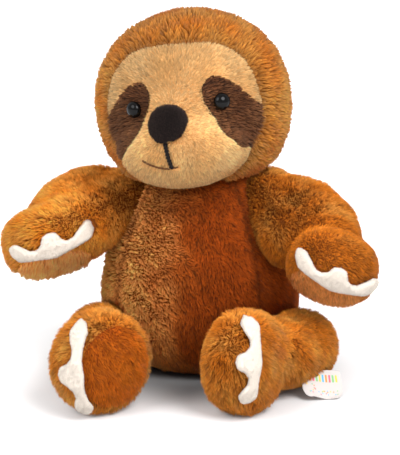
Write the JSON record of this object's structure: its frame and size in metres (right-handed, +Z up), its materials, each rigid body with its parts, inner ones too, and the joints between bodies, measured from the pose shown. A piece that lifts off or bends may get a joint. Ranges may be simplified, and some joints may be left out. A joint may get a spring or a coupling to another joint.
{
  "type": "plush sloth",
  "caption": "Seated stuffed sloth with a round turning head, a tan face with dark eye patches, arms and legs that lift, and felt claws.",
  "frame": {"origin": "the middle of the toy's footprint, on the surface that it sits on", "axes": "+Z up, the toy faces -Y, and its own left side is at +X"},
  "size_m": [0.1434, 0.1176, 0.1396],
  "materials": {
    "plush_brown": "short orange-brown pile, brushed in clumps",
    "plush_rust": "short rust-brown pile on palms and soles",
    "plush_tan": "very short tan pile",
    "plush_dark_brown": "very short dark brown pile",
    "nose_plush": "short black-brown pile over a stuffed pad",
    "felt_white": "matt off-white felt",
    "thread_black": "twisted thread",
    "label_satin": "bare white woven satin",
    "stuffing": "white polyester fibre",
    "pellet_fill": "cotton bag of plastic pellets",
    "eye_black": "glossy black",
    "washer_white": "plain white"
  },
  "bodies": {
    "torso": {"body_cover": "plush_brown", "body_filling": "stuffing", "pellet_bag": "pellet_fill"},
    "head": {"head_hood": "plush_brown", "head_filling": "stuffing", "forehead_panel": "plush_tan", "muzzle_panel": "plush_tan", "eye_patch_right": "plush_dark_brown", "eye_patch_left": "plush_dark_brown", "eye_right": "eye_black", "eye_left": "eye_black", "eye_washer_right": "washer_white", "eye_washer_left": "washer_white", "nose": "nose_plush", "mouth_stitch": "thread_black"},
    "arm_right": {"arm_cover_right": "plush_brown", "palm_panel_right": "plush_rust", "arm_filling_right": "stuffing", "hand_claws_right": "felt_white"},
    "leg_right": {"leg_cover_right": "plush_brown", "sole_panel_right": "plush_rust", "leg_filling_right": "stuffing", "foot_claws_right": "felt_white"},
    "arm_left": {"arm_cover_left": "plush_brown", "palm_panel_left": "plush_rust", "arm_filling_left": "stuffing", "hand_claws_left": "felt_white"},
    "leg_left": {"leg_cover_left": "plush_brown", "sole_panel_left": "plush_rust", "leg_filling_left": "stuffing", "foot_claws_left": "felt_white", "label": "label_satin"}
  },
  "joints": [
    {"name": "head_turn", "type": "hinge", "parent": "torso", "child": "head", "pos_m": [-0.00163, 0.02535, 0.0775], "axis": [0, 0, 1], "range_deg": [-25, 25], "stiffness_Nm_per_rad": 0.25},
    {"name": "arm_raise_right", "type": "hinge", "parent": "torso", "child": "arm_right", "pos_m": [-0.02763, 0.02535, 0.066], "axis": [-0.7263, 0.6874, 0], "range_deg": [-5, 30], "stiffness_Nm_per_rad": 0.3},
    {"name": "arm_raise_left", "type": "hinge", "parent": "torso", "child": "arm_left", "pos_m": [0.02437, 0.02535, 0.066], "axis": [-0.6872, -0.7265, 0], "range_deg": [-5, 30], "stiffness_Nm_per_rad": 0.3},
    {"name": "leg_lift_right", "type": "hinge", "parent": "torso", "child": "leg_right", "pos_m": [-0.03563, 0.00335, 0.0142], "axis": [-0.9681, -0.2506, 0], "range_deg": [0, 20], "stiffness_Nm_per_rad": 0.3},
    {"name": "leg_lift_left", "type": "hinge", "parent": "torso", "child": "leg_left", "pos_m": [0.04067, 0.00785, 0.0142], "axis": [-0.9328, 0.3605, 0], "range_deg": [0, 20], "stiffness_Nm_per_rad": 0.3}
  ]
}
